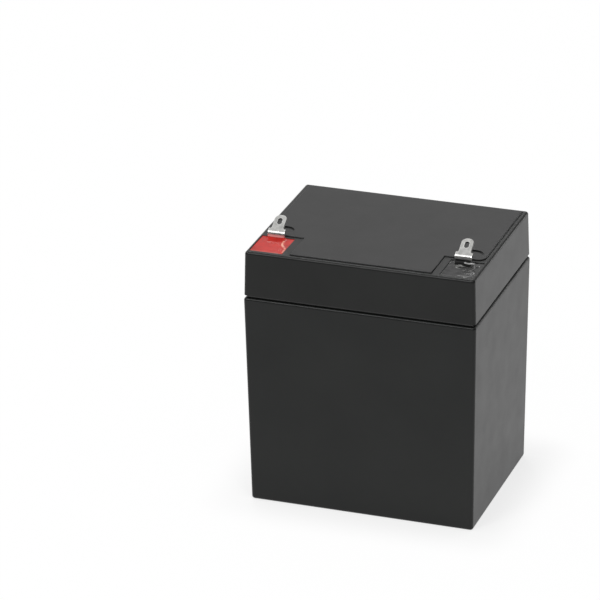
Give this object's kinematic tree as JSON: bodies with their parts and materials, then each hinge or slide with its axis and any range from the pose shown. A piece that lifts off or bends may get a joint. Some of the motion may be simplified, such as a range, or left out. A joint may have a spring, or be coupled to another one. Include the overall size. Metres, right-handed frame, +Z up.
{
  "type": "sealed lead-acid battery",
  "caption": "Upright sealed lead-acid block battery in a black moulded case, with push-on tab terminals in resin-filled corner wells, one red and one black.",
  "frame": {"origin": "middle of the case's base, on the surface it stands on", "axes": "+Z up; +X to the right along the long side, with the positive terminal at -X and the negative at +X; the terminals lie near the front edge, which faces -Y"},
  "size_m": [0.09, 0.07, 0.1083],
  "materials": {
    "container_plastic": "satin moulded black",
    "lid_plastic": "satin moulded black",
    "cover_plastic": "satin moulded black",
    "epoxy": "black epoxy bead",
    "tinned_tab": "bright tin plate on brass",
    "resin_red": "cast red resin with a slightly wavy gloss",
    "resin_black": "cast black resin with a wavy gloss",
    "cap_rubber": "soft black rubber",
    "seal_rubber": "soft black rubber",
    "positive_plates": "brown lead dioxide paste on a cast lead grid, cast lead strap",
    "negative_plates": "grey sponge lead on a cast lead grid, cast lead strap",
    "glass_mat": "white absorbent glass mat"
  },
  "bodies": {
    "root": {"container": "container_plastic", "lid": "lid_plastic", "lid_seal": "epoxy", "negative_group_1": "negative_plates", "negative_group_2": "negative_plates", "negative_group_3": "negative_plates", "negative_group_4": "negative_plates", "negative_group_5": "negative_plates", "negative_group_6": "negative_plates", "positive_group_1": "positive_plates", "positive_group_2": "positive_plates", "positive_group_3": "positive_plates", "positive_group_4": "positive_plates", "positive_group_5": "positive_plates", "positive_group_6": "positive_plates", "post_seal_negative": "seal_rubber", "post_seal_positive": "seal_rubber", "resin_negative": "resin_black", "resin_positive": "resin_red", "separator_1_1": "glass_mat", "separator_1_2": "glass_mat", "separator_1_3": "glass_mat", "separator_2_1": "glass_mat", "separator_2_2": "glass_mat", "separator_2_3": "glass_mat", "separator_3_1": "glass_mat", "separator_3_2": "glass_mat", "separator_3_3": "glass_mat", "separator_4_1": "glass_mat", "separator_4_2": "glass_mat", "separator_4_3": "glass_mat", "separator_5_1": "glass_mat", "separator_5_2": "glass_mat", "separator_5_3": "glass_mat", "separator_6_1": "glass_mat", "separator_6_2": "glass_mat", "separator_6_3": "glass_mat", "terminal_negative": "tinned_tab", "terminal_positive": "tinned_tab", "top_cover": "cover_plastic", "vent_cap_1": "cap_rubber", "vent_cap_2": "cap_rubber", "vent_cap_3": "cap_rubber", "vent_cap_4": "cap_rubber", "vent_cap_5": "cap_rubber", "vent_cap_6": "cap_rubber"}
  },
  "joints": []
}
